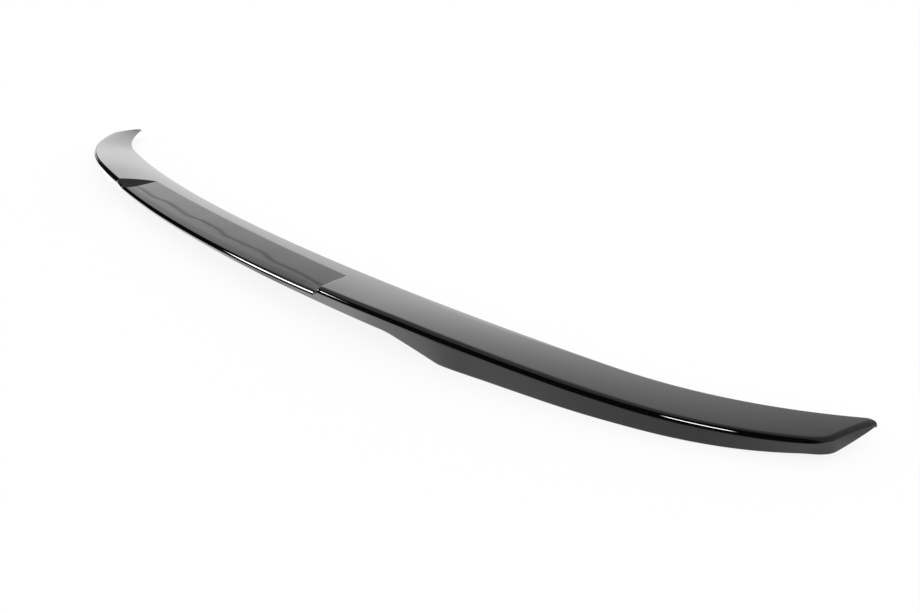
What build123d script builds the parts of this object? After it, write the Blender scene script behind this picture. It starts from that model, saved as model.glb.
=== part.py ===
from build123d import *
import os
from math import asin, cos, radians, sin, sqrt, tan

# Rear lip spoiler for a car's boot lid, injection moulded in one piece.
# X runs across the car, +Y points forward and +Z up, in millimetres.
# While it is built, X = 0 is the middle of the span and the wings stand on Z = 0.

# Overall form
half_span = 622.0            # middle of the span to the end face
wall = 2.8                   # top skin, rear wall and end walls
camber = 0.03                # bow of the top skin, per unit of chord

# Leading edge: a long arc that tightens towards the tips and arches down sideways
lead_y = 17.3
lead_z = 21.5
lead_radius = 2270.0
lead_tip_radius = 375.0
lead_tip_length = 151.0      # length of span, from the tip, with the tighter arc
lead_arch_radius = 14320.0
lead_lift_length = 172.0     # length of span, from the tip, that lifts again
lead_lift_radius = 1820.0

# Crest of the trailing edge, before it is rounded
crest_y = -59.1
crest_radius = 1850.0
crest_tip_radius = 474.0
crest_tip_length = 196.0
crest_wing_z = 35.1          # height along the inner wing
crest_tip_z = 17.0           # height at the tips
crest_level_length = 76.0    # level stretch outside the recess, before the crest falls
crest_end_length = 12.0      # level stretch at the tip
crest_round = 3.5

# Rear face, which leans forward on its way down
lean_middle = 32.0
lean_tip = 20.0

# Recess between the wings, with a floor and two slanted steps
recess_half_width = 214.4    # at the front corners, where the steps die out
recess_floor_z = 27.0        # floor height at Y = 0
recess_floor_fall = 0.04     # fall of the floor, per unit of length towards the rear
recess_flare = 0.25          # widening of each side, per unit of length towards the rear
recess_step_run = 1.42       # sideways run of a step, per unit of height
recess_round = 3.0

# Tips
tip_splay = 12.5             # turn of an end face from the car's axis, in degrees
tip_rear_radius = 12.0
tip_front_radius = 3.0
tip_nose = 6.0               # height of an end wall at the leading edge

# Lower edge of the rear wall, seen from behind
middle_edge_z = 19.6
middle_arch_radius = 7400.0
ramp_start_length = 83.0     # from the recess corner to the top of the ramp
ramp_length = 52.0
ramp_top_round = 60.0
ramp_foot_round = 14.0
tip_rise_length = 73.0       # length of span, from the tip, that rises again
tip_rise_radius = 320.0

# Bonding flange and stiffening ribs under each wing
flange_width = 9.0
flange_height = 2.5
flange_end_gap = 14.0        # from the ramp and from the lifted tip to the flange
rib_thickness = 2.0
rib_count = 4
rib_end_gap = 12.0           # from each end of the flange to the nearest rib
rib_front_share = 0.25       # share of the chord ahead of the ribs, left bare for bonding

# Construction allowances
station_count = 14           # stations from the middle to beyond a tip
overrun = 20.0               # reach of cutters and of the loft past the finished form
sink = 3.0                   # depth of the untrimmed form below the wings' plane
bite = 0.8                   # depth that ribs and flanges run into the walls
lead_reach = 0.2             # share of the chord that the hollow runs out ahead of the leading edge
trim_share = 0.72            # share of the chord, from the rear, that the lower edge line trims

# Sizes that follow
ramp_top_x = recess_half_width + ramp_start_length
ramp_foot_x = ramp_top_x + ramp_length
flange_start_x = ramp_foot_x + flange_end_gap
tip_rise_x = half_span - tip_rise_length
flange_end_x = tip_rise_x - flange_end_gap
rib_start_x = flange_start_x + rib_end_gap
rib_pitch = (flange_end_x - rib_end_gap - rib_start_x) / (rib_count - 1)
rib_places = [rib_start_x + rib_pitch * i for i in range(rib_count)]
sides = (1, -1)
stations = [(half_span + overrun) * i / station_count for i in range(-station_count, station_count + 1)]


def swept_line(x, middle_y, radius, tip_radius, tip_length):
    """Plan line of an edge: one arc in the middle and a tighter tangent arc near the tips."""
    x = abs(x)
    blend_x = half_span - tip_length
    if x <= blend_x:
        return middle_y + radius - sqrt(radius**2 - x**2)
    centre_x = blend_x * (1 - tip_radius / radius)
    centre_y = middle_y + radius - (radius - tip_radius) * cos(asin(blend_x / radius))
    return centre_y - sqrt(tip_radius**2 - (x - centre_x) ** 2)


def lead_point(x):
    """Top of the leading edge at a station, in the station's own (y, z)."""
    y = swept_line(x, lead_y, lead_radius, lead_tip_radius, lead_tip_length)
    lifted = max(abs(x) - half_span + lead_lift_length, 0)
    return Vector(y, lead_z - x**2 / (2 * lead_arch_radius) + lifted**2 / (2 * lead_lift_radius))


def crest_point(x):
    """Sharp crest at a station: level on the inner wing, then easing down to the tip."""
    y = swept_line(x, crest_y, crest_radius, crest_tip_radius, crest_tip_length)
    fall_start = recess_half_width + crest_level_length
    fall_end = half_span - crest_end_length
    t = min(max((abs(x) - fall_start) / (fall_end - fall_start), 0), 1)
    return Vector(y, crest_wing_z + (crest_tip_z - crest_wing_z) * t**2 * (3 - 2 * t))


def rear_slope(x):
    """Forward run of the rear face at a station, per unit of drop."""
    return tan(radians(lean_middle + (lean_tip - lean_middle) * abs(x) / half_span))


def rear_point(x, z, inset=0.0):
    """Point of the rear face at a height, moved inwards by inset."""
    crest = crest_point(x)
    slope = rear_slope(x)
    return Vector(crest.X + (crest.Y - z) * slope + inset * sqrt(1 + slope**2), z)


def top_curve(x, drop=0.0, inset=0.0, start=0.0):
    """Control points of the cambered top, lowered by drop, from a share of the chord to the rear face."""
    lead = lead_point(x) - Vector(0, drop)
    crest = rear_point(x, crest_point(x).Y - drop, inset)
    bow = (lead + crest) / 2 + Vector(0, 2 * camber * (crest - lead).length)
    first = lead + (bow - lead) * start
    second = bow + (crest - bow) * start
    return first + (second - first) * start, second, crest


def station_plane(x):
    """Plane across the span, whose own axes run along Y and Z."""
    return Plane(origin=(x, 0, 0), x_dir=(0, 1, 0), z_dir=(1, 0, 0))


def end_plane(side, inset=0.0):
    """Plane of an end face, moved inwards by inset."""
    splay = radians(tip_splay)
    normal = Vector(side * cos(splay), -sin(splay))
    corner = Vector(side * half_span, lead_point(half_span).X)
    return Plane(origin=corner - normal * inset, z_dir=normal)


def rear_corner_edges(form):
    """Upright rear edges of the two end faces of a form."""
    ends = form.faces().filter_by(GeomType.PLANE).sort_by(Axis.X)
    return [end.edges().sort_by(Axis.Y)[0] for end in (ends[0], ends[-1])]


def recess_block(grow=0.0):
    """Space over the recess floor and between its steps, grown on each side."""
    with BuildPart() as block:
        with Locations((0, crest_y, recess_floor_z)):
            Box(4 * recess_half_width, 4 * (lead_y - crest_y), 2 * crest_wing_z)
        up = Vector(0, -recess_floor_fall, 1).normalized()
        split(bisect_by=Plane(origin=Vector(0, 0, recess_floor_z) - up * grow, z_dir=up), keep=Keep.TOP)
        for side in sides:
            run = recess_flare + recess_step_run * recess_floor_fall
            out = Vector(side, run, -recess_step_run).normalized()
            corner = Vector(side * recess_half_width, 0, recess_floor_z)
            split(bisect_by=Plane(origin=corner + out * grow, z_dir=out), keep=Keep.BOTTOM)
    return block.part


# Outer form: cambered top, leaning rear face and splayed ends, with its rear corners and crest rounded
with BuildPart() as outer:
    for x in stations:
        lead = lead_point(x)
        foot = rear_point(x, -sink)
        with BuildSketch(station_plane(x)):
            with BuildLine():
                Bezier(*top_curve(x))
                Polyline(crest_point(x), foot, lead - Vector(0, tip_nose), lead)
            make_face()
    loft()
    for side in sides:
        split(bisect_by=end_plane(side), keep=Keep.BOTTOM)
    fillet(rear_corner_edges(outer), tip_rear_radius)
    top_edges = outer.faces().sort_by(Axis.Z)[-1].edges()
    lead_edge = top_edges.filter_by(lambda edge: edge.length > half_span).sort_by(Axis.Y)[-1]
    fillet([edge for edge in top_edges if edge != lead_edge], crest_round)

# Plan rounding of the sharp front corners
with BuildPart() as front_corners:
    for side in sides:
        corner = Vector(side * half_span, lead_point(half_span).X)
        along_lead = Vector(side * (half_span - bite), lead_point(half_span - bite).X) - corner
        along_lead = along_lead.normalized()
        along_end = Vector(-side * sin(radians(tip_splay)), -cos(radians(tip_splay)))
        half_angle = radians(along_lead.get_angle(along_end) / 2)
        reach = tip_front_radius / tan(half_angle)
        inward = (along_lead + along_end).normalized()
        first = corner + along_lead * reach
        last = corner + along_end * reach
        beyond = -inward * overrun
        with BuildSketch(Plane.XY.offset(-overrun)):
            with BuildLine():
                Polyline(first, first + beyond, corner + beyond, last + beyond, last, close=True)
            make_face()
            with Locations(corner + inward * tip_front_radius / sin(half_angle)):
                Circle(tip_front_radius, mode=Mode.SUBTRACT)
        extrude(amount=2 * overrun + crest_wing_z)

# Space under the skin, inside the rear wall and the end walls
with BuildPart() as hollow:
    for x in stations:
        ahead, bow, crest = top_curve(x, drop=wall, inset=wall, start=-lead_reach)
        foot = rear_point(x, -overrun, inset=wall)
        with BuildSketch(station_plane(x)):
            with BuildLine():
                Bezier(ahead, bow, crest)
                Polyline(crest, foot, Vector(ahead.X, -overrun), ahead)
            make_face()
    loft()
    for side in sides:
        split(bisect_by=end_plane(side, wall), keep=Keep.BOTTOM)
    fillet(rear_corner_edges(hollow), tip_rear_radius - wall)
    add(recess_block(wall), mode=Mode.SUBTRACT)

# Everything below the lower edge of the rear wall: an arch in the middle, ramps, level wings, lifted tips
with BuildPart() as lower_edge:
    for x in stations:
        rear_y = rear_point(x, crest_point(x).Y, inset=-overrun).X
        front_y = crest_point(x).X + (lead_point(x) - crest_point(x)).X * trim_share
        with BuildSketch(station_plane(x)):
            with Locations(((rear_y + front_y) / 2, 0)):
                Rectangle(front_y - rear_y, 2 * crest_wing_z)
    loft()
    with BuildSketch(Plane.XZ) as edge_profile:
        with BuildLine():
            ramp_top_z = middle_edge_z - middle_arch_radius + sqrt(middle_arch_radius**2 - ramp_top_x**2)
            trim_end_x = half_span + overrun
            trim_end_z = tip_rise_radius - sqrt(tip_rise_radius**2 - (trim_end_x - tip_rise_x) ** 2)
            RadiusArc((0, middle_edge_z), (ramp_top_x, ramp_top_z), middle_arch_radius)
            Polyline((ramp_top_x, ramp_top_z), (ramp_foot_x, 0), (tip_rise_x, 0))
            rise = RadiusArc((tip_rise_x, 0), (trim_end_x, trim_end_z), -tip_rise_radius)
            Polyline(rise @ 1, (trim_end_x, -overrun), (0, -overrun), (0, middle_edge_z))
        make_face()
        fillet(edge_profile.vertices().sort_by_distance((ramp_top_x, 0, ramp_top_z))[0], ramp_top_round)
        fillet(edge_profile.vertices().sort_by_distance((ramp_foot_x, 0, 0))[0], ramp_foot_round)
        mirror(about=Plane.YZ)
    extrude(amount=half_span, both=True, mode=Mode.INTERSECT)

# Flanges along the foot of the rear wall, for the bonding strip
with BuildPart() as flanges:
    for side in sides:
        for x in (flange_start_x, *rib_places, flange_end_x):
            low = rear_point(x, -sink, inset=wall - bite)
            high = rear_point(x, flange_height, inset=wall - bite)
            width = Vector(flange_width + bite, 0)
            with BuildSketch(station_plane(side * x)):
                with BuildLine():
                    Polyline(low, low + width, high + width, high, close=True)
                make_face()
        loft()

# Ribs between the skin, the rear wall and the flange
with BuildPart() as ribs:
    for side in sides:
        for x in rib_places:
            front, bow, crest = top_curve(x, drop=wall - bite, inset=wall - bite, start=rib_front_share)
            foot = rear_point(x, flange_height - bite, inset=wall - bite)
            with BuildSketch(station_plane(side * x)):
                with BuildLine():
                    Bezier(front, bow, crest)
                    Polyline(crest, foot, front)
                make_face()
            extrude(amount=rib_thickness / 2, both=True)

# The moulding: outer form with its recess, hollowed, stiffened and trimmed to its lower edge
with BuildPart() as moulding:
    add(outer.part)
    add(front_corners.part, mode=Mode.SUBTRACT)
    add(recess_block(), mode=Mode.SUBTRACT)
    floor = moulding.faces().filter_by(GeomType.PLANE).filter_by(lambda face: face.normal_at().Z > 0)
    fillet(floor.sort_by(SortBy.AREA)[-1].edges().sort_by(Axis.Y)[0], recess_round)
    add(hollow.part, mode=Mode.SUBTRACT)
    add(flanges.part)
    add(ribs.part)
    add(lower_edge.part, mode=Mode.SUBTRACT)

# Final frame: origin under the middle of the bounding box, on the wings' plane
bounds = moulding.part.bounding_box()
with BuildPart() as spoiler:
    with Locations((0, -bounds.center().Y, -bounds.min.Z)):
        add(moulding.part)

os.makedirs("parts", exist_ok=True)
spoiler.part.label = "spoiler_moulding"
export_step(spoiler.part, "parts/spoiler_moulding.step")
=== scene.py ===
"""Dresses a one-piece lip spoiler for a boot lid in gloss black plastic, in a white studio.

Lengths are in metres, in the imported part's own frame: X across the car, +Y forward, +Z up.
"""

import logging
import math
from dataclasses import dataclass, field
from enum import Enum
from typing import Any

import bpy
import numpy as np
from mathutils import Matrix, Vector


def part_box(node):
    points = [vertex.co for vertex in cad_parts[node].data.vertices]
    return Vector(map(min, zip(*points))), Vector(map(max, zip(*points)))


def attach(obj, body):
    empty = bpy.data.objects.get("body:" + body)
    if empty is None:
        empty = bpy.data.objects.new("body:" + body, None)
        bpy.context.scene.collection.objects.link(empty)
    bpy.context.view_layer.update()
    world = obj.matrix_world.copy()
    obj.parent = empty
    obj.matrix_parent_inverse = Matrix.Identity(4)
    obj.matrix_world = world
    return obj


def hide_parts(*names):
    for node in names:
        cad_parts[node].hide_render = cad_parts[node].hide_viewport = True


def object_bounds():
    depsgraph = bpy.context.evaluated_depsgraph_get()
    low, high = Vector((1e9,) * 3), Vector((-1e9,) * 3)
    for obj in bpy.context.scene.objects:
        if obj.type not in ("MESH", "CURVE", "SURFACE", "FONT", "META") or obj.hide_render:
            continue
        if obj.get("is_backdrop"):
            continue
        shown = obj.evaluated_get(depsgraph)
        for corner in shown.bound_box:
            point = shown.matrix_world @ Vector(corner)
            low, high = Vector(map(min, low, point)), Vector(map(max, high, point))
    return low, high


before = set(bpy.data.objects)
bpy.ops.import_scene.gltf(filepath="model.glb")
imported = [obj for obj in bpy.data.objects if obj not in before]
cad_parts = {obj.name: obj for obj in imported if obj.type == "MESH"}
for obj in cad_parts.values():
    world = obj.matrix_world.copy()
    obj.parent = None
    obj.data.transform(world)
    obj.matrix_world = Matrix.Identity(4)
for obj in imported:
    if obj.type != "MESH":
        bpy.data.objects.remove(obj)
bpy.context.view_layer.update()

Array = np.ndarray
Stops = tuple[tuple[float, float], ...]
log = logging.getLogger("spoiler")

NODE = "spoiler_moulding"
BODY = "root"
HALF_TURN = 180.0
RIGHT_ANGLE = 90.0
DEGREES = HALF_TURN / math.pi


def smooth_max(a: Array, b: Array, width: float) -> Array:
    """Larger of two heights with a rounded crease: max(a, b) + max(width - |a - b|, 0)^2 / (4 width).

    Args:
        a: first heights.
        b: second heights.
        width: difference in height over which the crease is rounded.

    Returns:
        The blended heights.
    """
    return np.maximum(a, b) + np.maximum(width - np.abs(a - b), 0.0) ** 2 / (4.0 * width)


def smooth_min(a: Array, b: Array, width: float) -> Array:
    """Smaller of two heights with a rounded crease, as smooth_max turned over."""
    return -smooth_max(-a, -b, width)


def ease(t: Array) -> Array:
    """Rises from 0 to 1 with level ends: 3 t^2 - 2 t^3, with t held between 0 and 1."""
    t = np.clip(t, 0.0, 1.0)
    return t * t * (3.0 - 2.0 * t)


def ease_over(x: Array, stretch: tuple[float, float]) -> Array:
    """Rises from 0 to 1 along a stretch, given as where it starts and how long it is."""
    start, length = stretch
    return ease((x - start) / length)


def mix(first: Any, second: Any, share: Any) -> Any:
    """Value a share of the way from the first to the second: first + (second - first) share."""
    return first + (second - first) * share


def pair(first: Array, second: Array) -> Array:
    """Two columns of numbers as an (n, 2) array of plan points."""
    return np.stack(np.broadcast_arrays(first, second), axis=-1)


def turned(angle: Array) -> Array:
    """Unit plan directions at these angles from +X."""
    return pair(np.cos(angle), np.sin(angle))


def lengths(place: Array) -> Array:
    """Length along a plan line up to each of its points."""
    return np.concatenate([[0.0], np.cumsum(np.hypot(*np.diff(place, axis=0).T))])


@dataclass(frozen=True)
class SweptEdge:
    """Plan line of an edge: tangent arcs from the middle outwards, each a place across and a radius."""

    middle_y: float
    arcs: tuple[tuple[float, float], ...]

    def spans(self) -> list[tuple[float, float, float, float]]:
        """Start, stop and radius of each arc, and the sine of the line's bearing at its start."""
        starts = [start for start, _ in self.arcs]
        sine, found = 0.0, []
        for (start, radius), stop in zip(self.arcs, starts[1:] + [math.inf]):
            found.append((start, stop, radius, sine))
            sine += (stop - start) / radius
        return found

    def y(self, x: Array) -> Array:
        """Place forward: middle_y plus R (cos b0 - cos b) per arc, b0 and b the bearings at its ends."""
        x = np.abs(x)
        total = np.full(np.shape(x), self.middle_y)
        for start, stop, radius, sine in self.spans():
            reached = np.clip(sine + (np.clip(x, start, stop) - start) / radius, -1.0, 1.0)
            total = total + radius * (math.sqrt(1.0 - sine**2) - np.sqrt(1.0 - reached**2))
        return total

    def bearing(self, x: Array) -> Array:
        """Angle of the line's tangent from +X on the right side; its sine grows by 1 / R along x."""
        sine = sum((np.clip(x, start, stop) - start) / radius for start, stop, radius, _ in self.spans())
        return np.arcsin(np.clip(sine, -1.0, 1.0))


@dataclass(frozen=True)
class SpoilerForm:
    """Sizes of the moulding and the formulas of its faces, before it is moved into the part's frame.

    A pair that ends in _blend is the place across where a change starts, and how long it is.
    """

    half_span: float = 0.6209
    wall: float = 0.0028
    camber: float = 0.03
    tip_splay: float = math.radians(11.45)

    # Leading edge and its pointed corners
    lead: SweptEdge = SweptEdge(0.0173, ((0.0, 2.270), (0.4665, 0.3868)))
    lead_z: float = 0.0215
    lead_arch_radius: float = 14.32
    lead_lift_x: float = 0.450
    lead_lift_radius: float = 1.98
    nose_drop: float = 0.0052
    nose_length: float = 0.0095

    # Crest, and the roll-off before it
    crest: SweptEdge = SweptEdge(-0.0548, ((0.0, 2.220), (0.2736, 1.023), (0.5073, 0.3291)))
    crest_wing_z: float = 0.0339
    crest_tip_z: float = 0.0167
    crest_fall_start_x: float = 0.2872
    crest_fall_end_x: float = 0.6066
    roll_length: float = 0.0085
    roll_drop: float = 0.0010
    roll_tip_drop: float = 0.0004
    roll_tip_blend: tuple[float, float] = (0.450, 0.110)
    recess_roll_length: float = 0.017
    recess_roll_drop: float = 0.00125
    recess_roll_blend: tuple[float, float] = (0.200, 0.030)

    # Rear face
    lean_middle: float = math.radians(23.91)
    lean_tip: float = math.radians(20.84)
    heel_x: float = 0.3650
    heel_lean: float = math.radians(-1.98)
    heel_spread: float = 0.0256
    wing_x: float = 0.4765
    wing_lean: float = math.radians(-2.35)
    wing_spread: float = 0.0396
    twist_lean: float = math.radians(-3.93)
    twist_blend: tuple[float, float] = (0.535, 0.070)

    # Recess
    recess_half_width: float = 0.2144
    recess_floor_z: float = 0.0268
    recess_floor_fall: float = 0.0058
    recess_flare: float = 0.25
    recess_step_run: float = 1.42
    recess_crease: float = 0.00035
    step_crease: float = 0.00022
    ripple_slope: float = 0.0012
    ripple_pitch: float = 0.096
    ripple_start_x: float = -0.066
    ripple_y: float = -0.023
    ripple_end_blend: tuple[float, float] = (0.175, 0.030)

    # Lower edge
    middle_edge_z: float = 0.01847
    middle_arch_radius: float = 11.40
    ramp_top_x: float = 0.3080
    ramp_foot_x: float = 0.3563
    ramp_top_crease: float = 0.0017
    ramp_foot_crease: float = 0.0005
    tip_rise_x: float = 0.5270
    tip_rise_radius: float = 0.578

    @property
    def step_flare(self) -> float:
        """Run inwards of a step's level lines per unit forward, which keeps its foot to recess_flare."""
        return self.recess_flare + self.recess_step_run * self.recess_floor_fall

    def lead_height(self, x: Array) -> Array:
        """Leading edge: lead_z - x^2 / 2R, plus l^2 / 2R' over the length l that lifts near the tips."""
        lifted = np.maximum(np.abs(x) - self.lead_lift_x, 0.0)
        return self.lead_z - x**2 / (2 * self.lead_arch_radius) + lifted**2 / (2 * self.lead_lift_radius)

    def crest_height(self, x: Array) -> Array:
        """Crest: level on the inner wing, then eased down to the tip."""
        span = self.crest_fall_end_x - self.crest_fall_start_x
        fall = ease((np.abs(x) - self.crest_fall_start_x) / span)
        return mix(self.crest_wing_z, self.crest_tip_z, fall)

    def rear_run(self, x: Array) -> Array:
        """Forward run of the rear face per unit of drop: the tangent of its lean.

        The lean falls off evenly from the middle to the tips. Two bell curves make the face a little
        steeper, at the heel of each wing and farther out, and a twist makes each tip steeper still.
        """
        x = np.abs(x)
        even = self.lean_middle + (self.lean_tip - self.lean_middle) * x / self.half_span
        heel = self.heel_lean * np.exp(-(((x - self.heel_x) / self.heel_spread) ** 2))
        wing = self.wing_lean * np.exp(-(((x - self.wing_x) / self.wing_spread) ** 2))
        twist = self.twist_lean * ease_over(x, self.twist_blend)
        return np.tan(even + heel + wing + twist)

    def top_height(self, x: Array, y: Array) -> Array:
        """Cambered top: the line from lead to crest, plus 4 camber chord t (1 - t), less the nose's fall.

        t runs from 0 at the leading edge to 1 at the crest.
        """
        lead_y, crest_y = self.lead.y(x), self.crest.y(x)
        lead_z, crest_z = self.lead_height(x), self.crest_height(x)
        t = (lead_y - y) / (lead_y - crest_y)
        chord = np.hypot(lead_y - crest_y, lead_z - crest_z)
        cambered = mix(lead_z, crest_z, t) + 4 * self.camber * chord * t * (1 - t)
        return cambered - self.nose_fall(x, y)

    def nose_fall(self, x: Array, y: Array) -> Array:
        """Drop of the pointed front corner: nose_drop (1 - d / nose_length)^2, d the distance to it."""
        corner_y = self.lead.y(np.array(self.half_span))
        away = np.hypot(np.abs(x) - self.half_span, y - corner_y)
        return self.nose_drop * np.maximum(1.0 - away / self.nose_length, 0.0) ** 2

    def ripple(self, x: Array, y: Array) -> Array:
        """Faint twist of the recess floor, as moulded sheets have: a slope in y that saws along x.

        The slope is -ripple_slope (sin a + sin 2a / 4), a along x in turns of ripple_pitch, and it fades
        out before the steps.
        """
        turn = 2 * math.pi * (x - self.ripple_start_x) / self.ripple_pitch
        slope = -self.ripple_slope * (np.sin(turn) + np.sin(2 * turn) / 4)
        fade = 1.0 - ease_over(np.abs(x), self.ripple_end_blend)
        return slope * fade * (y - self.ripple_y)

    def floor_height(self, y: Array) -> Array:
        """Recess floor: a plane that falls towards the rear."""
        return self.recess_floor_z + self.recess_floor_fall * y

    def skin_height(self, x: Array, y: Array) -> Array:
        """Top with its recess: the lower of the cambered top and a pocket, less the roll-off.

        The pocket is the higher of the rippled floor and the slanted steps.
        """
        outward = np.abs(x) + self.step_flare * y - self.recess_half_width
        step = self.recess_floor_z + outward / self.recess_step_run
        pocket = smooth_max(self.floor_height(y) + self.ripple(x, y), step, self.recess_crease)
        return smooth_min(self.top_height(x, y), pocket, self.step_crease) - self.roll_off(x, y)

    def roll_off(self, x: Array, y: Array) -> Array:
        """How far the top rolls down before the crest: drop (1 - d / length)^2, d to the crest line.

        It is longest and deepest in the recess, shorter on the wings and shallowest at the tips.
        """
        x = np.abs(x)
        away = (y - self.crest.y(x)) * np.cos(self.crest.bearing(x))
        wing = ease_over(x, self.recess_roll_blend)
        wing_drop = mix(self.roll_drop, self.roll_tip_drop, ease_over(x, self.roll_tip_blend))
        drop = mix(self.recess_roll_drop, wing_drop, wing)
        length = mix(self.recess_roll_length, self.roll_length, wing)
        return drop * np.clip(1.0 - away / length, 0.0, 1.0) ** 2

    def foot_height(self, x: Array) -> Array:
        """Lower edge of the rear wall: an arch, a ramp down to the level wing, and a rise at the tip."""
        x = np.abs(x)
        arch = self.middle_edge_z - np.minimum(x, self.ramp_foot_x) ** 2 / (2 * self.middle_arch_radius)
        ramp_top_z = self.middle_edge_z - self.ramp_top_x**2 / (2 * self.middle_arch_radius)
        ramp = ramp_top_z * (self.ramp_foot_x - x) / (self.ramp_foot_x - self.ramp_top_x)
        level = smooth_max(ramp, np.zeros_like(x), self.ramp_foot_crease)
        rise = np.maximum(x - self.tip_rise_x, 0.0) ** 2 / (2 * self.tip_rise_radius)
        return smooth_min(arch, level, self.ramp_top_crease) + rise

    def crease_y(self, x: Array) -> Array:
        """Line where the recess floor leaves the top: the smaller root of their quadratic difference."""
        x = np.minimum(np.abs(x), self.recess_half_width)
        lead_y, crest_y = self.lead.y(x), self.crest.y(x)
        lead_z, crest_z = self.lead_height(x), self.crest_height(x)
        bow = 4 * self.camber * np.hypot(lead_y - crest_y, lead_z - crest_z)
        linear = crest_z - lead_z + bow + self.recess_floor_fall * (lead_y - crest_y)
        gap = self.floor_height(lead_y) - lead_z
        t = (linear - np.sqrt(linear**2 - 4 * bow * gap)) / (2 * bow)
        return mix(lead_y, crest_y, t)


@dataclass(frozen=True)
class Edge:
    """A sharp edge in plan, one row per column of the grid, with the wall that drops from it.

    place is the plan point, z its height, out the outward plan direction and lean the wall's run
    inwards per unit of drop.
    """

    place: Array
    z: Array
    out: Array
    lean: Array

    def at(self, outward: Array, height: Array) -> Array:
        """Points at these outward distances from the edge and at these heights, as (n, 3)."""
        plan = self.place + self.out * np.asarray(outward)[:, None]
        return np.concatenate([plan, np.asarray(height)[:, None]], axis=1)

    def wall_at(self, height: Array, inward: Array | float = 0.0) -> Array:
        """Points of the wall at these heights, moved inwards."""
        return self.at((height - self.z) * self.lean - inward, height)


@dataclass(frozen=True)
class Rounding:
    """Circle that rounds an edge, in the vertical plane along the edge's outward direction."""

    centre_out: Array
    centre_z: Array
    radius: Array
    start: Array
    stop: Array

    def point(self, share: float) -> tuple[Array, Array]:
        """Outward distance and height at a share of the way from the skin, 0, to the wall, 1."""
        angle = mix(self.start, self.stop, share)
        return self.centre_out + self.radius * np.cos(angle), self.centre_z + self.radius * np.sin(angle)


@dataclass(frozen=True)
class TipArcs:
    """Circles in plan that round the right tip's rear and front corners.

    bearing is the end face's, rear_x and front_x are where the circles leave the crest and the leading
    edge, and rear and front are their centres.
    """

    bearing: float
    rear_x: float
    rear: Array
    front_x: float
    front: Array


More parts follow.
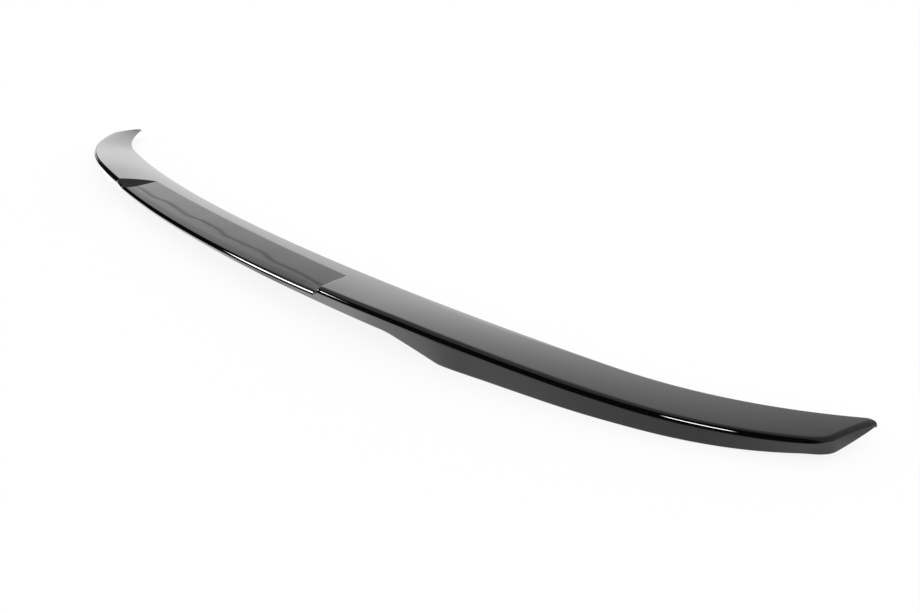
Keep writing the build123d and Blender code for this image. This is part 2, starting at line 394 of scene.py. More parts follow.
@dataclass
class ShellGrid:
    """Grid of the moulded shell: closed section loops, carried from one front corner to the other.

    A pair that ends in _blend is the place across where a change starts, and how long it is.
    """

    form: SpoilerForm = field(default_factory=SpoilerForm)

    # Roundings
    crest_round: float = 0.0038
    inner_wing_round: float = 0.0041
    wing_round_blend: tuple[float, float] = (0.300, 0.150)
    recess_round: float = 0.0030
    recess_round_blend: tuple[float, float] = (0.225, 0.012)
    lip_round: float = 0.0011
    inner_round: float = 0.0012
    foot_round: float = 0.0005
    rear_corner: float = 0.0310
    front_corner: float = 0.002

    # End face
    end_lean: float = -math.tan(math.radians(13.8))
    nose_lean: float = -math.tan(math.radians(15.5))
    end_power: float = 3.65
    nose: float = 0.0008

    # Foot and flange
    least_wall: float = 0.0008
    flange_width: float = 0.009
    flange_height: float = 0.0025
    flange_start_x: float = 0.3634
    flange_end_x: float = 0.535
    flange_share: float = 0.45
    plain_ledge: float = 0.0002
    ledge_slope: float = 0.00005
    ledge_gap: float = 0.0002
    least_inner: float = 0.001
    foot_round_share: float = 0.3
    ledge_round_share: float = 0.4

    # Columns
    turn_start_x: float = 0.300
    dense_start_x: float = 0.200
    dense_end_x: float = 0.250
    warp_start_x: float = 0.190
    warp_end_x: float = 0.262
    least_step: float = 0.004
    fan_x: float = 0.560
    fan_share: float = 0.998
    stretch_columns: tuple[int, ...] = (91, 72, 79, 26)
    corner_columns: int = 16
    end_columns: int = 16
    nose_columns: int = 44

    # Rows
    crease_mark: float = 0.3
    crease_band: float = 0.03
    crease_limits: tuple[float, float] = (0.15, 0.45)
    crease_blend: tuple[float, float] = (0.300, 0.100)
    least_depth: float = 1e-9
    lip_rows: int = 6
    front_rows: int = 9
    crease_rows: int = 13
    rear_rows: int = 30
    rim_rows: int = 19
    wall_rows: int = 13
    inner_rows: int = 6
    under_rows: int = 22

    # Searches
    probe: float = 0.0002
    tip_samples: int = 2000
    rim_rounds: int = 12
    rounding_rounds: int = 20
    rounding_pace: float = 0.7

    def column_places(self, last_x: float) -> Array:
        """Places across the right half at which section loops stand, closer together at the steps.

        Args:
            last_x: where the crest meets the rear corner's rounding.

        Returns:
            Distances from the middle, from 0 to last_x.
        """
        stops = [0.0, self.dense_start_x, self.dense_end_x, self.fan_x, last_x]
        stretches = zip(stops, stops[1:], self.stretch_columns)
        columns = [np.linspace(start, stop, count)[1:] for start, stop, count in stretches]
        flange = (self.flange_start_x, self.flange_end_x)
        ledges = [x + side * self.plain_ledge for x in flange for side in (-1, 1)]
        return np.unique(np.concatenate([[0.0], *columns, ledges]))

    def step_warp(self, x: Array, y: Array, rim_y: Array) -> Array:
        """Slides columns near a step so that they follow the step's foot and head lines.

        Between two fixed columns the columns are stretched piece by piece, so that those that meet the
        foot and head lines at the rim follow these lines forwards.

        Args:
            x: column places at the rim.
            y: forward places at which the columns are wanted.
            rim_y: forward place of the rim at each column.

        Returns:
            Column places at y.
        """
        form = self.form
        low, high = self.warp_start_x, self.warp_end_x

        def lines(at_y: Array) -> tuple[Array, Array]:
            """Foot and head line of the step at a forward place."""
            foot = form.recess_half_width - form.recess_flare * at_y
            rise = form.top_height(foot, at_y) - form.recess_floor_z
            head = form.recess_half_width - form.step_flare * at_y + form.recess_step_run * rise
            least = np.full_like(foot, self.least_step)
            return foot, foot + smooth_max(head - foot, least, self.least_step)

        rim_foot, rim_head = lines(rim_y)
        foot, head = lines(y)
        inner = low + (x - low) * (foot - low) / (rim_foot - low)
        slope = foot + (x - rim_foot) * (head - foot) / (rim_head - rim_foot)
        outer = head + (x - rim_head) * (high - head) / (high - rim_head)
        moved = np.where(x < rim_foot, inner, np.where(x < rim_head, slope, outer))
        return np.where((x > low) & (x < high), moved, x)

    def tip_arcs(self) -> TipArcs:
        """Circles that round the corners of the right tip.

        Each centre lies one radius inside the end line and one radius inside the crest or the leading
        edge, found where the edge's offset line crosses the end line's.

        Returns:
            The two circles.
        """
        form = self.form
        bearing = -form.tip_splay
        end = np.array([form.half_span, form.lead.y(np.array(form.half_span))])
        x = np.linspace(self.fan_x, form.half_span, self.tip_samples)

        def meet(line: SweptEdge, side: float, radius: float) -> tuple[float, Array]:
            """Place along an edge, and circle centre, where the rounding touches it."""
            normal = turned(line.bearing(x) + side * math.pi / 2)
            centre = pair(x, line.y(x)) - normal * radius
            inside = (end - centre) @ turned(bearing)
            at = float(np.interp(-radius, -inside, x))
            there = np.array([np.interp(at, x, centre[:, 0]), np.interp(at, x, centre[:, 1])])
            return at, there

        rear = meet(form.crest, -1.0, self.rear_corner)
        front = meet(form.lead, 1.0, self.front_corner)
        return TipArcs(bearing, *rear, *front)

    def rim(self, tip: TipArcs) -> tuple[Edge, Array]:
        """Sharp rear and end edge of the right half: crest, rear corner, end line and front corner.

        Args:
            tip: circles of the right tip.

        Returns:
            The edge, and the radius that rounds it.
        """
        form = self.form
        x = self.column_places(tip.rear_x)
        bearing = form.crest.bearing(x)
        turn = bearing * ease((x - self.turn_start_x) / (tip.rear_x - self.turn_start_x))
        z = form.crest_height(x)
        for _ in range(self.rim_rounds):
            y = form.crest.y(x) + (form.crest_height(x) - z) * form.rear_run(x)
            z = form.skin_height(x, y)
        lean = form.rear_run(x) / (np.cos(turn) + np.sin(turn) * np.tan(bearing))
        wing_round = mix(self.inner_wing_round, self.crest_round, ease_over(x, self.wing_round_blend))
        rounding = mix(self.recess_round, wing_round, ease_over(x, self.recess_round_blend))

        rear_angle = np.linspace(bearing[-1] - math.pi / 2, tip.bearing, self.corner_columns)[1:]
        front_stop = form.lead.bearing(np.array(tip.front_x)) + math.pi / 2
        front_angle = np.linspace(tip.bearing, front_stop, self.nose_columns)[1:-1]
        rear_arc = tip.rear + self.rear_corner * turned(rear_angle)
        front_arc = tip.front + self.front_corner * turned(front_angle)
        along = np.linspace(0.0, 1.0, self.end_columns)[1:]
        end_stop = tip.front + self.front_corner * turned(np.array(tip.bearing))
        end_line = mix(rear_arc[-1], end_stop, along[:, None])
        end_angle = np.full(len(end_line), tip.bearing)

        angle = np.concatenate([turn - math.pi / 2, rear_angle, end_angle, front_angle])
        place = np.concatenate([pair(x, y), rear_arc, end_line, front_arc])
        rear_share = np.linspace(0.0, 1.0, len(rear_angle) + 1)[1:]
        tip_lean = mix(lean[-1], self.end_lean, ease(rear_share))
        end_lean = mix(self.end_lean, self.nose_lean, along)
        lean = np.concatenate([lean, tip_lean, end_lean, np.full(len(front_angle), self.nose_lean)])
        front_share = np.linspace(0.0, 1.0, len(front_angle) + 1)[1:]
        front_round = mix(self.crest_round, self.lip_round, ease(front_share))
        tip_round = np.full(len(rear_angle) + len(end_angle), self.crest_round)
        rounding = np.concatenate([rounding, tip_round, front_round])
        heights = np.concatenate([z, form.skin_height(*place[len(x):].T)])
        return Edge(place, heights, turned(angle), lean), rounding

    def lead_edge(self, rim: Edge, tip: TipArcs) -> Edge:
        """Leading edge, with one point for each column of the rim.

        Columns run straight forward up to fan_x. Past it they gather towards the front corner: x grows
        with 1 - (1 - u)^p, u along the rim's length and p the power that keeps the spacing smooth.

        Args:
            rim: sharp rear and end edge.
            tip: circles of the right tip.

        Returns:
            The leading edge.
        """
        form = self.form
        x = self.step_warp(rim.place[:, 0], form.lead.y(rim.place[:, 0]), rim.place[:, 1])
        length = lengths(rim.place)
        first = int(np.searchsorted(rim.place[:, 0], self.fan_x))
        u = np.clip((length - length[first]) / (length[-1] - length[first]), 0.0, 1.0)
        reach = tip.front_x - self.fan_x
        rate = math.cos(float(form.crest.bearing(np.array(self.fan_x))))
        power = rate * (length[-1] - length[first]) / reach
        fan = self.fan_x + reach * (1.0 - (1.0 - self.fan_share * u) ** power)
        x = np.where(np.arange(len(x)) < first, x, fan)
        place = pair(x, form.lead.y(x))
        out = turned(form.lead.bearing(x) + math.pi / 2)
        return Edge(place, form.skin_height(*place.T), out, np.zeros(len(x)))

    def height_inside(self, edge: Edge, inward: Array) -> Array:
        """Height of the skin at a distance inwards from an edge."""
        place = edge.place - edge.out * inward[:, None]
        return self.form.skin_height(*place.T)

    def rounded(self, edge: Edge, radius: Array, drop: float = 0.0, inset: float = 0.0) -> Rounding:
        """Circle tangent to the skin and to the wall below an edge.

        The tangent to the skin at a distance w inside the edge meets the wall's line, and w is moved
        until the tangent length to that meeting point is r tan(turn / 2).

        Args:
            edge: the sharp edge.
            radius: radius of the rounding.
            drop: how far the skin is lowered, for the inner side.
            inset: how far the wall is moved inwards, square to itself, for the inner side.

        Returns:
            The rounding.
        """
        lean_angle = np.arctan(edge.lean)
        inset_run = inset * np.sqrt(1.0 + edge.lean**2)
        w = inset_run + radius
        for _ in range(self.rounding_rounds):
            z = self.height_inside(edge, w) - drop
            nearer = self.height_inside(edge, w - self.probe)
            farther = self.height_inside(edge, w + self.probe)
            slope = (nearer - farther) / (2 * self.probe)
            meet_z = (z + (w - inset_run - edge.z * edge.lean) * slope) / (1.0 - edge.lean * slope)
            meet_w = inset_run + (edge.z - meet_z) * edge.lean
            tilt = np.arctan(slope)
            turn = tilt + math.pi / 2 + lean_angle
            wanted = radius * np.tan(turn / 2) * np.cos(tilt)
            w = w + self.rounding_pace * (meet_w + wanted - w)
        return Rounding(
            -w + radius * np.sin(tilt), z - radius * np.cos(tilt), radius, math.pi / 2 + tilt, -lean_angle
        )

    def skin_rows(self, front: Array, rear: Array, rim: Edge, drop: float, fine: bool) -> list[Array]:
        """Rows of the skin between its roundings at the leading edge and at the rim.

        Each row lies a share of the way from front to rear, at skin_height. The shares are stretched so
        that the row at crease_mark follows the line where the recess floor leaves the top.

        Args:
            front: points where the lip's rounding ends.
            rear: points where the rim's rounding starts.
            rim: sharp rear and end edge.
            drop: how far the skin is lowered, for the inner side.
            fine: whether the rows gather at the recess crease.

        Returns:
            Rows of points, from front to rear, without the end rows.
        """
        form = self.form
        across = rim.place[:, 0]
        middle, band = self.crease_mark, self.crease_band
        depth = front[:, 1] - rear[:, 1] + self.least_depth
        share = np.clip((front[:, 1] - form.crease_y(across)) / depth, *self.crease_limits)
        share = mix(share, middle, ease_over(across, self.crease_blend))
        fan = np.arange(len(across)) >= np.searchsorted(across, self.warp_end_x)
        if fine:
            closing = np.sin(np.linspace(0.0, math.pi / 2, self.rear_rows)[1:-1])
            marks = np.concatenate(
                [
                    np.linspace(0.0, middle - band, self.front_rows)[1:],
                    np.linspace(middle - band, middle + band, self.crease_rows)[1:],
                    middle + band + (1.0 - band - middle) * closing,
                ]
            )
        else:
            marks = np.linspace(0.0, 1.0, self.under_rows)[1:-1]
        rows = []
        for mark in marks:
            ahead = share * mark / middle
            behind = share + (1.0 - share) * (mark - middle) / (1.0 - middle)
            t = ahead if mark < middle else behind
            plan = mix(front[:, :2], rear[:, :2], t[:, None])
            warped = self.step_warp(across, plan[:, 1], rear[:, 1])
            plan[:, 0] = np.where(fan, plan[:, 0], warped)
            z = form.skin_height(*plan.T) - drop
            rows.append(np.concatenate([plan, z[:, None]], axis=1))
        return rows

    def foot_line(self, rim: Edge, nose_z: float, start: int) -> Array:
        """Height of the lower edge at each column.

        Up to the rear corner it is foot_height. Round the tip it keeps the slope s that it has there and
        then climbs to the nose: z + s l + k (l / L)^end_power, l along the rim from the corner, L the
        whole length to the nose and k what is left to climb.

        Args:
            rim: sharp rear and end edge.
            nose_z: height at which the lower edge ends.
            start: column at which the rear corner starts.

        Returns:
            The heights.
        """
        foot = self.form.foot_height(rim.place[:, 0])
        along = lengths(rim.place[start:])
        slope = (foot[start] - foot[start - 1]) / np.hypot(*(rim.place[start] - rim.place[start - 1]))
        climb = nose_z - foot[start] - slope * along[-1]
        foot[start:] = foot[start] + slope * along + climb * (along / along[-1]) ** self.end_power
        return foot

    def foot_rows(self, rim: Edge, foot: Array, inner_z: Array) -> tuple[list[Array], list[Array]]:
        """Rows round the foot and over its flange, then up the inner wall.

        The flange is a ledge inside the wall. Elsewhere the ledge is so narrow that the wall is plain.

        Args:
            rim: sharp rear and end edge.
            foot: heights of the lower edge.
            inner_z: heights at which the inner wall meets its rounding.

        Returns:
            The rows on the outer side, and those on the hidden side.
        """
        x = rim.place[:, 0]
        thick = self.form.wall * np.sqrt(1.0 + rim.lean**2)
        has_flange = (x > self.flange_start_x) & (x < self.flange_end_x)
        ledge = np.where(has_flange, self.flange_width, self.plain_ledge)
        climb = np.maximum(inner_z - foot, self.least_inner)
        ledge_z = foot + np.minimum(self.flange_height, self.flange_share * climb)
        r = np.minimum(self.foot_round, self.foot_round_share * (ledge_z - foot))
        soft = np.minimum(r, self.ledge_round_share * ledge)
        corner = 1.0 - math.sqrt(0.5)
        outer = [rim.wall_at(foot + corner * r, corner * r), rim.wall_at(foot, r)]
        inner = [
            rim.wall_at(foot, thick + ledge - r),
            rim.wall_at(foot + corner * r, thick + ledge - corner * r),
            rim.wall_at(foot + r, thick + ledge),
            rim.wall_at(ledge_z - r, thick + ledge),
            rim.wall_at(ledge_z - corner * r, thick + ledge - corner * soft),
            rim.wall_at(ledge_z, thick + ledge - soft),
            rim.wall_at(ledge_z + self.ledge_slope, thick),
        ]
        top = np.maximum(inner_z, ledge_z + self.ledge_gap)
        shares = np.linspace(0.0, 1.0, self.inner_rows)[1:-1]
        return outer, inner + [rim.wall_at(mix(ledge_z, top, share), thick) for share in shares]

    def half_loops(self) -> tuple[Array, Array]:
        """Closed section loops of the right half, from the middle to the front corner.

        Each loop runs round the lip, over the skin, round the rim, down the wall, round the foot and its
        flange, up the inner wall and back under the skin.

        Returns:
            Points as (columns, rows, 3), and for each row whether it lies on the hidden inner side.
        """
        form = self.form
        tip = self.tip_arcs()
        rim, radius = self.rim(tip)
        lead = self.lead_edge(rim, tip)
        count = len(radius)
        lip_arc = self.rounded(lead, np.full(count, self.lip_round))
        rim_arc = self.rounded(rim, radius)
        inner_arc = self.rounded(rim, np.full(count, self.inner_round), drop=form.wall, inset=form.wall)
        lip = [lead.at(*lip_arc.point(share)) for share in np.linspace(1.0, 0.0, self.lip_rows)]
        crest = [rim.at(*rim_arc.point(share)) for share in np.linspace(0.0, 1.0, self.rim_rows)]
        bend = [rim.at(*inner_arc.point(share)) for share in np.linspace(1.0, 0.0, self.inner_rows)]
        under = lead.at(np.full(count, -self.foot_round), lead.z - form.wall)
        under_lip = lead.at(np.zeros(count), lead.z - form.wall + self.foot_round)

        wall_z = rim_arc.point(1.0)[1]
        start = len(self.column_places(tip.rear_x)) - 1
        foot = self.foot_line(rim, lead.z[-1] - self.nose, start)
        foot = np.minimum(foot, wall_z - self.least_wall)
        low = np.minimum(foot + self.foot_round, wall_z - self.least_wall / 2)
        drops = np.linspace(0.0, 1.0, self.wall_rows)[1:]
        wall = [rim.wall_at(mix(wall_z, low, share)) for share in drops]
        foot_outer, foot_inner = self.foot_rows(rim, foot, inner_arc.point(1.0)[1])

        skin = self.skin_rows(lip[-1], crest[0], rim, 0.0, True)
        lining = self.skin_rows(under, bend[-1], rim, form.wall, False)[::-1]
        outer = lip + skin + crest + wall + foot_outer
        inner = foot_inner + bend + lining + [under, under_lip]
        hidden = [False] * len(outer) + [True] * len(inner)
        return np.stack(outer + inner, axis=1), np.array(hidden)

    def loops(self) -> tuple[Array, Array]:
        """All section loops, left to right, the left half a mirror of the right, with the hidden rows."""
        right, hidden = self.half_loops()
        left = right[:0:-1] * np.array([-1.0, 1.0, 1.0])
        return np.concatenate([left, right]), hidden


class Node:
    """A value in a shader tree, with the operators that its expressions use."""

    def __init__(self, tree: "ShaderTree", socket: bpy.types.NodeSocket) -> None:
        """Wraps one output socket."""
        self.tree = tree
        self.socket = socket

    def _math(self, operation: str, first: Any, second: Any) -> "Node":
        """One Math node on two values."""
        return self.tree.add("ShaderNodeMath", {"operation": operation}, {0: first, 1: second})

    def __add__(self, other: Any) -> "Node":
        """self + other."""
        return self._math("ADD", self, other)

    __radd__ = __add__

    def __sub__(self, other: Any) -> "Node":
        """self - other."""
        return self._math("SUBTRACT", self, other)

    def __rsub__(self, other: Any) -> "Node":
        """other - self."""
        return self._math("SUBTRACT", other, self)

    def __mul__(self, other: Any) -> "Node":
        """self * other."""
        return self._math("MULTIPLY", self, other)

    __rmul__ = __mul__

    def __truediv__(self, other: Any) -> "Node":
        """self / other."""
        return self._math("DIVIDE", self, other)

    def __rtruediv__(self, other: Any) -> "Node":
        """other / self."""
        return self._math("DIVIDE", other, self)

    def above(self, limit: Any) -> "Node":
        """1 where self is above a limit, else 0."""
        return self._math("GREATER_THAN", self, limit)

    def step(self, low: float, high: float) -> "Node":
        """Rises smoothly from 0 to 1 as self goes from low to high."""
        smooth = {"interpolation_type": "SMOOTHSTEP"}
        return self.tree.add("ShaderNodeMapRange", smooth, {0: self, 1: low, 2: high, 3: 0.0, 4: 1.0})

    def within(self, low: float, high: float, soft: float) -> "Node":
        """1 between two limits and 0 outside them, with soft edges."""
        return self.step(low - soft, low) * (1.0 - self.step(high, high + soft))

    def ramp(self, stops: Stops) -> "Node":
        """Levels along stops between 0 and 1."""
        colours = [(place, grey(level)) for place, level in stops]
        return self.tree.add("ShaderNodeValToRGB", {"stops": colours}, {"Fac": self})

    def levels(self, stops: Stops, low: float, high: float) -> "Node":
        """Levels along stops between low and high."""
        span = high - low
        return ((self - low) / span).ramp(tuple(((place - low) / span, level) for place, level in stops))

    def larger(self, other: Any) -> "Node":
        """The larger of two values."""
        return self._math("MAXIMUM", self, other)

    def smaller(self, other: Any) -> "Node":
        """The smaller of two values."""
        return self._math("MINIMUM", self, other)

    def bearing(self, forward: "Node") -> "Node":
        """Bearing in degrees, from forward towards the left, of a direction that has self to its right."""
        return self._math("ARCTAN2", self * -1.0, forward) * DEGREES

    def elevation(self) -> "Node":
        """Angle in degrees whose sine is self."""
        return self.tree.add("ShaderNodeMath", {"operation": "ARCSINE"}, {0: self}) * DEGREES

    def beside(self, name: str) -> "Node":
        """Another output of the node that self comes from."""
        return Node(self.tree, self.socket.node.outputs[name])


class ShaderTree:
    """Node tree of one material or of the world."""

    def __init__(self, owner: bpy.types.Material | bpy.types.World) -> None:
        """Empties the owner's tree."""
        owner.use_nodes = True
        self.tree = owner.node_tree
        self.tree.nodes.clear()

    def add(
        self,
        kind: str,
        settings: dict[str, Any] | None = None,
        sockets: dict[Any, Any] | None = None,
        out: Any = 0,
    ) -> Node:
        """Adds a node: its settings first, then the values or links of its sockets.

        Args:
            kind: the node's type.
            settings: properties by name; stops are a ramp's places and colours.
            sockets: inputs by name or index; a Node is linked and anything else is set.
            out: the output that is wanted, by name or index.

        Returns:
            The wrapped output.
        """
        node = self.tree.nodes.new(kind)
        for name, value in (settings or {}).items():
            if name == "stops":
                ramp = node.color_ramp
                while len(ramp.elements) < len(value):
                    ramp.elements.new(1.0)
                for element, (place, colour) in zip(ramp.elements, value):
                    element.position = place
                    element.color = colour
            else:
                setattr(node, name, value)
        for key, value in (sockets or {}).items():
            socket = node.inputs[key]
            if isinstance(value, Node):
                self.tree.links.new(value.socket, socket)
            else:
                socket.default_value = value
        return Node(self, node.outputs[out]) if len(node.outputs) else Node(self, None)

    def parts(self, kind: str) -> tuple[Node, Node, Node]:
        """X, Y and Z of a texture coordinate."""
        place = self.add("ShaderNodeTexCoord", out=kind)
        x = self.add("ShaderNodeSeparateXYZ", sockets={0: place}, out="X")
        return x, x.beside("Y"), x.beside("Z")

    def noise(self, place: Node, scale: float, detail: float) -> Node:
        """Noise pattern over a place."""
        return self.add("ShaderNodeTexNoise", sockets={"Vector": place, "Scale": scale, "Detail": detail})

    def plastic(self, colour: Node, rough: Node, ior: float, relief: Node, height: float) -> None:
        """Ends a material as plastic.

        Args:
            colour: base colour.
            rough: roughness.
            ior: index of refraction.
            relief: pattern of the fine relief.
            height: how high the relief stands.
        """
        bump = self.add("ShaderNodeBump", sockets={"Height": relief, "Strength": 1.0, "Distance": height})
        sockets = {"Base Color": colour, "Roughness": rough, "IOR": ior, "Normal": bump}
        surface = self.add("ShaderNodeBsdfPrincipled", sockets=sockets)
        self.add("ShaderNodeOutputMaterial", sockets={"Surface": surface})


def grey(level: float) -> tuple[float, float, float, float]:
    """An opaque grey."""
    return (level, level, level, 1.0)


@dataclass(frozen=True)
class GlossBlack:
    """Black plastic under a high gloss coat: a little orange peel, faint dust and uneven polish.

    cloud, grain and peel are the scale and detail of noise patterns.
    """

    name: str = "gloss_black"
    colour: float = 0.0018
    dust_colour: float = 0.030
    dust_share: float = 0.79
    dust_roughness: float = 0.2
    roughness: float = 0.012
    roughness_spread: float = 0.020
    ior: float = 1.5
    cloud: tuple[float, float] = (14.0, 3.0)
    grain: tuple[float, float] = (900.0, 1.0)
    peel: tuple[float, float] = (170.0, 2.0)
    peel_height: float = 0.0000015

    def make(self) -> bpy.types.Material:
        """Builds the material."""
        material = bpy.data.materials.new(self.name)
        tree = ShaderTree(material)
        place = tree.add("ShaderNodeTexCoord", out="Object")
        cloud = tree.noise(place, *self.cloud)
        dust = tree.noise(place, *self.grain).above(self.dust_share) * cloud
        colour = dust.ramp(((0.0, self.colour), (1.0, self.dust_colour)))
        rough = self.roughness + cloud * self.roughness_spread + dust * self.dust_roughness
        tree.plastic(colour, rough, self.ior, tree.noise(place, *self.peel), self.peel_height)
        return material


@dataclass(frozen=True)
class MouldedBlack:
    """Bare black plastic of the hidden side, with flow marks and the fine grain of an etched mould.

    flow and grain are the scale and detail of noise patterns, and flow_range is the flow's darkest and
    lightest level.
    """

    name: str = "moulded_black"
    colour: float = 0.012
    light_colour: float = 0.022
    roughness: float = 0.42
    roughness_spread: float = 0.15
    ior: float = 1.5
    flow: tuple[float, float] = (22.0, 4.0)
    flow_range: tuple[float, float] = (0.35, 0.75)
    grain: tuple[float, float] = (1100.0, 2.0)
    grain_height: float = 0.00006

    def make(self) -> bpy.types.Material:
        """Builds the material."""
        material = bpy.data.materials.new(self.name)
        tree = ShaderTree(material)
        place = tree.add("ShaderNodeTexCoord", out="Object")
        flow = tree.noise(place, *self.flow)
        dark, light = self.flow_range
        colour = flow.ramp(((dark, self.colour), (light, self.light_colour)))
        rough = self.roughness + flow * self.roughness_spread
        tree.plastic(colour, rough, self.ior, tree.noise(place, *self.grain), self.grain_height)
        return material


def mesh_object(name: str, points: Array, faces: list[tuple[int, ...]], smooth: bool) -> bpy.types.Object:
    """Mesh object at the origin, linked to the scene.

    Args:
        name: the object's name.
        points: vertices as (n, 3).
        faces: vertex numbers of each face.
        smooth: whether the faces are shaded smooth.

    Returns:
        The object.
    """
    mesh = bpy.data.meshes.new(name)
    mesh.from_pydata(points.tolist(), [], faces)
    mesh.polygons.foreach_set("use_smooth", np.full(len(mesh.polygons), smooth))
    mesh.update()
    made = bpy.data.objects.new(name, mesh)
    bpy.context.scene.collection.objects.link(made)
    return made


@dataclass
class Moulding:
    """The spoiler's one moulding: its shell and the ribs on its hidden side."""

    grid: ShellGrid = field(default_factory=ShellGrid)
    rib_places: tuple[float, ...] = (0.3754, 0.4246, 0.4738, 0.5230)
    rib_thickness: float = 0.002
    rib_front_share: float = 0.25
    rib_points: int = 12
    bite: float = 0.0008

    def build_shell(
        self, gloss: bpy.types.Material, bare: bpy.types.Material
    ) -> tuple[bpy.types.Object, float]:
        """Shell mesh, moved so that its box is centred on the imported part's box.

        Args:
            gloss: finish of the outer side.
            bare: finish of the hidden side.

        Returns:
            The object, and how far it was moved forward.
        """
        points, hidden = self.grid.loops()
        low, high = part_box(NODE)
        shift = (low.y + high.y - points[..., 1].min() - points[..., 1].max()) / 2
        points[..., 1] += shift
        columns, rows, _ = points.shape
        i, j = np.meshgrid(np.arange(columns - 1), np.arange(rows), indexing="ij")
        k = (j + 1) % rows
        quads = np.stack([i * rows + j, i * rows + k, (i + 1) * rows + k, (i + 1) * rows + j], axis=-1)
        caps = [tuple(range(rows)), tuple(range(columns * rows - 1, (columns - 1) * rows - 1, -1))]
        faces = quads.reshape(-1, 4).tolist() + caps
        shell = mesh_object("spoiler_shell", points.reshape(-1, 3), faces, True)
        shell.data.materials.append(gloss)
        shell.data.materials.append(bare)
        inside = hidden[j] & hidden[k]
        index = np.concatenate([inside.reshape(-1).astype(np.int32), [1, 1]])
        shell.data.polygons.foreach_set("material_index", index)
        shell.data.update()
        return shell, shift

    def build_ribs(self, shift: float, bare: bpy.types.Material) -> bpy.types.Object:
        """Ribs under both wings: plates between the skin, the rear wall and the flange.

        Each plate's outline runs from the front under the skin to the crest, down the rear wall to the
        flange, and straight back to the front.

        Args:
            shift: how far the shell was moved forward.
            bare: finish of the hidden side.

        Returns:
            The object.
        """
        form, grid = self.grid.form, self.grid
        sink = form.wall - self.bite
        points: list[Array] = []
        faces: list[tuple[int, ...]] = []
        for place in [side * x for x in self.rib_places for side in (-1, 1)]:
            x = np.full(self.rib_points, place)
            at = x[:1]
            run = form.rear_run(at)
            inset = sink * np.sqrt(1 + run**2)
            rear = form.crest.y(at) + sink * run + inset
            front = mix(form.lead.y(at), rear, self.rib_front_share)
            y = np.linspace(front[0], rear[0], self.rib_points)
            z = form.top_height(x, y) - sink
            foot_z = grid.flange_height - self.bite
            foot_y = form.crest.y(at) + (form.crest_height(at) - foot_z) * run + inset
            outline = np.stack([np.append(y, foot_y) + shift, np.append(z, foot_z)], axis=1)
            count = len(outline)
            base = len(points) * count
            for side in (-1, 1):
                across = np.full((count, 1), place + side * self.rib_thickness / 2)
                points.append(np.concatenate([across, outline], axis=1))
            faces.append(tuple(base + n for n in range(count)))
            faces.append(tuple(base + 2 * count - 1 - n for n in range(count)))
            ring = [(n, (n + 1) % count) for n in range(count)]
            faces.extend((base + b, base + a, base + count + a, base + count + b) for a, b in ring)
        ribs = mesh_object("stiffening_ribs", np.concatenate(points), faces, False)
        ribs.data.materials.append(bare)
        return ribs


class Softbox(Enum):
    """Softboxes in the dark half of the room.

    Each has its limits of bearing and of height in degrees, its slant and its brightness.
    """

    LEFT = (125.5, 135.2, 4.0, 16.0, 0.6, 42.0)
    BEHIND = (-157.3, -142.8, 28.0, 35.0, 0.0, 42.0)


class Panel(Enum):
    """Round overhead panels.

    Each has the bearing and height of its middle in degrees, the cosines of the angles from there to its
    rim and to its core, and its brightness.
    """

    ABOVE = (62.0, 68.0, 0.79, 0.90, 0.60)
    LEFT = (125.0, 56.0, 0.839, 0.951, 0.55)


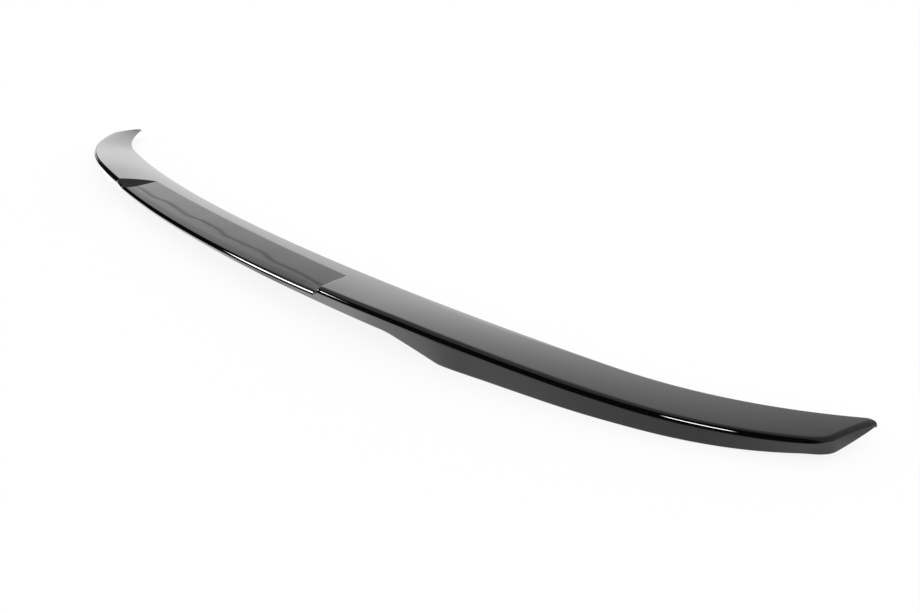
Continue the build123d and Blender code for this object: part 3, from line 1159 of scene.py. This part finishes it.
@dataclass
class Studio:
    """White studio: floor, world and softboxes, and the camera at the photograph's angle.

    Bearings are in degrees from straight ahead towards the left, and heights in degrees. Stops are places
    with their levels, and limits are two bearings with the softness of their edges.
    """

    # Camera
    camera_place: tuple[float, float, float] = (0.76383, -0.34758, 0.28371)
    camera_round: float = math.radians(48.717)
    camera_above: float = math.radians(24.0)
    lens: float = 30.58
    clip_start: float = 0.01

    # Floor, and the sheet on it that reflections see: a glow whose levels are painted light and shade
    floor_size: float = 60.0
    floor_white: float = 0.90
    floor_glow: float = 0.88
    rear_y: float = -0.088
    rear_radius: float = 1.75
    rear_end: float = 0.62
    sheet_near: float = 0.017
    sheet_far: float = 0.028
    sheet_loss: float = 0.98
    middle_inset: float = 0.009
    middle_end: tuple[float, float] = (0.16, 0.21)
    tip_inset: float = 0.012
    tip_start: tuple[float, float] = (0.565, 0.605)
    sheet_reach: float = 0.7
    sheet_across: Stops = (
        (-0.70, 1.40), (0.02, 1.45), (0.07, 1.08), (0.13, 0.80), (0.18, 1.42),
        (0.25, 1.50), (0.28, 1.22), (0.34, 1.00), (0.37, 0.75), (0.44, 0.82),
        (0.50, 0.77), (0.55, 0.74), (0.58, 0.92), (0.60, 1.18), (0.625, 1.38),
    )
    ahead_across: Stops = (
        (-0.30, 1.15), (0.05, 1.20), (0.15, 1.16), (0.30, 1.00),
        (0.40, 0.85), (0.51, 0.65), (0.60, 0.69), (0.66, 0.76),
    )
    ahead_start: tuple[float, float] = (0.02, 0.08)
    ahead_far: tuple[float, float] = (1.2, 4.0)

    # Even light, and the backdrop that reflections see
    even_level: float = 1.12
    backdrop_level: float = 1.28
    backdrop_across: Stops = (
        (-180.0, 0.008), (-109.0, 0.008), (-98.0, 0.62), (-85.0, 0.80), (-30.0, 1.0), (55.0, 1.0),
        (62.0, 1.03), (68.0, 0.98), (75.0, 0.94), (79.5, 0.03), (84.0, 0.008), (180.0, 0.008),
    )
    shade_slant: float = 0.6
    shade_height: float = 10.0
    backdrop_shade: Stops = (
        (0.0, 0.40), (20.0, 0.43), (25.0, 0.53), (30.0, 0.65),
        (35.0, 0.78), (40.0, 0.87), (46.0, 0.97), (52.0, 1.04),
    )
    fade_slant: float = 0.55
    fade_start: float = 51.4
    backdrop_fade: Stops = (
        (0.0, 1.0), (2.5, 0.85), (5.0, 0.64), (8.0, 0.60), (14.0, 0.45), (22.0, 0.30), (32.0, 0.02),
    )

    # Flag, seam and the softboxes' edges
    flag_limits: tuple[float, float, float] = (-120.0, -45.0, 15.0)
    seam_limits: tuple[float, float, float] = (58.0, 75.0, 2.0)
    seam_at: float = 0.820
    seam_half: float = 0.0033
    seam_depth: float = 0.45
    box_soft: float = 3.0

    def build_camera(self, shift: float) -> None:
        """Camera, moved forward with the shell."""
        camera = bpy.data.objects.new("camera", bpy.data.cameras.new("camera"))
        bpy.context.scene.collection.objects.link(camera)
        flat = math.cos(self.camera_above)
        ahead = Vector(
            (
                -math.sin(self.camera_round) * flat,
                math.cos(self.camera_round) * flat,
                -math.sin(self.camera_above),
            )
        )
        camera.location = Vector(self.camera_place) + Vector((0.0, shift, 0.0))
        camera.rotation_euler = ahead.to_track_quat("-Z", "Y").to_euler()
        camera.data.lens = self.lens
        camera.data.clip_start = self.clip_start
        bpy.context.scene.camera = camera

    def shade(self, slid: Node) -> Node:
        """Share of the backdrop's brightness by bearing, slid along with height."""
        return slid.levels(self.backdrop_shade, 0.0, RIGHT_ANGLE)

    def sheet(self, x: Node, y: Node) -> Node:
        """Brightness that reflections see on the floor: a glow whose levels are painted light and shade.

        The sheet ends a little behind the part's rear edge, whose line is near the parabola x^2 / 2R, and
        nearer to it by an inset across the middle and at the right tip. By the rear edge its level goes by
        sheet_across, further ahead by ahead_across, and far off by bearing, as the backdrop's foot does.

        Args:
            x: place across.
            y: place forward.

        Returns:
            The brightness.
        """
        square = x * x
        sweep = square.smaller(self.rear_end**2) / (2 * self.rear_radius)
        beside = square.step(self.middle_end[0] ** 2, self.middle_end[1] ** 2)
        inset = (1.0 - beside) * self.middle_inset + x.step(*self.tip_start) * self.tip_inset
        behind = sweep + self.rear_y - y + inset
        # Painted light and shade: the glow's levels across the floor, by and ahead of the part's rear edge
        near = x.levels(self.sheet_across, -self.sheet_reach, self.sheet_reach)
        ahead = x.levels(self.ahead_across, -self.sheet_reach, self.sheet_reach)
        far = self.shade(x.bearing(y) - self.shade_height * self.shade_slant) * self.backdrop_level
        ahead = mix(ahead, far, y.step(*self.ahead_far))
        bright = mix(near, ahead, (behind * -1.0).step(*self.ahead_start))
        # Painted shade: behind the part's rear edge the glow goes nearly dark
        return bright * (1.0 - behind.step(self.sheet_near, self.sheet_far) * self.sheet_loss)

    def build_floor(self, level: float) -> None:
        """Floor under the part: white with a soft shadow to the camera, and to reflections the sheet, a
        glow of painted light and shade.

        Args:
            level: height of the floor.
        """
        sides = self.floor_size / 2 * np.array([[-1.0, -1.0], [1.0, -1.0], [1.0, 1.0], [-1.0, 1.0]])
        floor = mesh_object("floor", np.insert(sides, 2, level, axis=1), [(0, 1, 2, 3)], False)
        material = bpy.data.materials.new("floor_paper")
        tree = ShaderTree(material)
        camera = tree.add("ShaderNodeLightPath", out="Is Camera Ray")
        mirrored = camera.beside("Is Glossy Ray").larger(camera.beside("Is Transmission Ray"))
        x, y, _ = tree.parts("Object")
        paper = tree.add("ShaderNodeBsdfDiffuse", sockets={"Color": grey(self.floor_white)})
        # To reflections the floor shows only the sheet's glow, its painted light and shade
        strength = camera + self.sheet(x, y) * mirrored
        glow = tree.add("ShaderNodeEmission", sockets={"Color": grey(1.0), "Strength": strength})
        share = camera * self.floor_glow + mirrored * (1.0 - camera)
        surface = tree.add("ShaderNodeMixShader", sockets={0: share, 1: paper, 2: glow})
        tree.add("ShaderNodeOutputMaterial", sockets={"Surface": surface})
        floor.data.materials.append(material)
        floor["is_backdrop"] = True

    def build_world(self) -> None:
        """World: white to the camera, even light for the floor, and to reflections a studio in a dark room.

        The studio is a white backdrop across the front, brightest to the left, that fades upwards, with
        a thin seam, two overhead panels, a flag that shades them on the right, and softboxes behind the
        part.
        """
        world = bpy.data.worlds.new("studio")
        bpy.context.scene.world = world
        tree = ShaderTree(world)
        x, y, z = tree.parts("Generated")
        bearing, height = x.bearing(y), z.elevation()
        across = bearing.levels(self.backdrop_across, -HALF_TURN, HALF_TURN)
        shade = self.shade(bearing + (height - self.shade_height) * self.shade_slant)
        faded = height + bearing * self.fade_slant - self.fade_start
        fade = faded.levels(self.backdrop_fade, 0.0, RIGHT_ANGLE)
        level = across * shade * fade * self.backdrop_level
        unshaded = 1.0 - bearing.within(*self.flag_limits)
        for panel in Panel:
            around, above, rim, core, bright = panel.value
            side, up = math.radians(around), math.radians(above)
            ahead = y * math.cos(side) - x * math.sin(side)
            towards = ahead * math.cos(up) + z * math.sin(up)
            level = level.larger(towards.step(rim, core) * unshaded * bright)
        seam = (z / y).within(self.seam_at - self.seam_half, self.seam_at + self.seam_half, self.seam_half)
        seam = seam * bearing.within(*self.seam_limits)
        level = level * (1.0 - seam * self.seam_depth)
        for box in Softbox:
            left, right, low, high, slant, bright = box.value
            slid = bearing + (height - self.shade_height) * slant
            lit = slid.within(left, right, self.box_soft) * height.within(low, high, self.box_soft)
            level = level + lit * bright
        glossy = tree.add("ShaderNodeLightPath", out="Is Glossy Ray")
        camera = glossy.beside("Is Camera Ray")
        seen = level * glossy + self.even_level * (1.0 - glossy)
        strength = camera + seen * (1.0 - camera)
        shown = tree.add("ShaderNodeBackground", sockets={"Color": grey(1.0), "Strength": strength})
        tree.add("ShaderNodeOutputWorld", sockets={"Surface": shown})


def main() -> None:
    """Builds the moulding, dresses it and sets up the studio."""
    logging.basicConfig(level=logging.INFO, format="%(message)s")
    scene = bpy.context.scene
    scene.view_settings.view_transform = "Standard"
    gloss = GlossBlack().make()
    bare = MouldedBlack().make()
    moulding = Moulding()
    shell, shift = moulding.build_shell(gloss, bare)
    ribs = moulding.build_ribs(shift, bare)
    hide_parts(NODE)
    for piece in (shell, ribs):
        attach(piece, BODY)
        log.info("%s: %d faces", piece.name, len(piece.data.polygons))
    studio = Studio()
    studio.build_camera(shift)
    studio.build_floor(min(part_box(NODE)[0].z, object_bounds()[0].z))
    studio.build_world()


if __name__ == "__main__":
    main()
